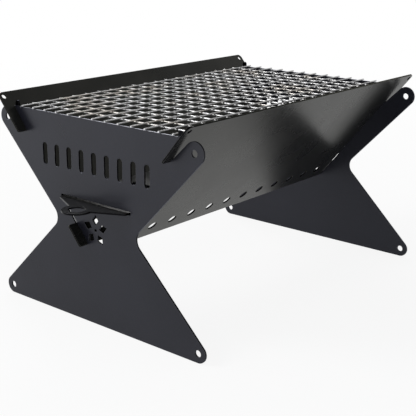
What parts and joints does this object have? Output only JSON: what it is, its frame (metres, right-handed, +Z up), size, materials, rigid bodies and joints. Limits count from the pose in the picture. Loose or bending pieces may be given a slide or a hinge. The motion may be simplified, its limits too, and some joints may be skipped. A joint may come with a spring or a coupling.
{
  "type": "folding fire pit",
  "caption": "Slot-together camp fire pit: hourglass end plates, sloping vented side panels, pull-out fuel floor and a loose wire grill.",
  "frame": {"origin": "on the ground under the middle of the whole object's length and width", "axes": "+X across the end plates to the right as seen from the pull ring, +Y along the trough away from the pull ring, +Z up"},
  "size_m": [0.321, 0.4885, 0.2524],
  "materials": {
    "end_plate_coat": "fine-textured heat-proof powder coat, dark blue-grey",
    "panel_coat": "satin heat-proof coat, near black",
    "floor_coat": "satin heat-proof coat, black, sooted",
    "grill_wire": "bright drawn wire, heat-tinted in places"
  },
  "bodies": {
    "end_plates": {"front_end_plate": "end_plate_coat", "rear_end_plate": "end_plate_coat"},
    "left_panel": {"left_side_panel": "panel_coat"},
    "right_panel": {"right_side_panel": "panel_coat"},
    "floor": {"fuel_floor": "floor_coat"},
    "grill": {"long_wire_1": "grill_wire", "long_wire_2": "grill_wire", "long_wire_3": "grill_wire", "long_wire_4": "grill_wire", "long_wire_5": "grill_wire", "long_wire_6": "grill_wire", "long_wire_7": "grill_wire", "long_wire_8": "grill_wire", "long_wire_9": "grill_wire", "long_wire_10": "grill_wire", "long_wire_11": "grill_wire", "long_wire_12": "grill_wire", "long_wire_13": "grill_wire", "cross_wire_1": "grill_wire", "cross_wire_2": "grill_wire", "cross_wire_3": "grill_wire", "cross_wire_4": "grill_wire", "cross_wire_5": "grill_wire", "cross_wire_6": "grill_wire", "cross_wire_7": "grill_wire", "cross_wire_8": "grill_wire", "cross_wire_9": "grill_wire", "cross_wire_10": "grill_wire", "cross_wire_11": "grill_wire", "cross_wire_12": "grill_wire", "cross_wire_13": "grill_wire", "cross_wire_14": "grill_wire", "cross_wire_15": "grill_wire", "cross_wire_16": "grill_wire", "cross_wire_17": "grill_wire", "cross_wire_18": "grill_wire", "cross_wire_19": "grill_wire"}
  },
  "joints": [
    {"name": "left_panel_lift", "type": "slide", "parent": "end_plates", "child": "left_panel", "axis": [-0.6455, 0, 0.7638], "range_m": [0, 0.0195]},
    {"name": "right_panel_lift", "type": "slide", "parent": "end_plates", "child": "right_panel", "axis": [0.6455, 0, 0.7638], "range_m": [0, 0.0195]},
    {"name": "floor_pull", "type": "slide", "parent": "end_plates", "child": "floor", "axis": [0, -1, 0], "range_m": [0, 0.22]},
    {"name": "grill_lift", "type": "slide", "parent": "end_plates", "child": "grill", "axis": [0, 0, 1], "range_m": [0, 0.06]}
  ]
}
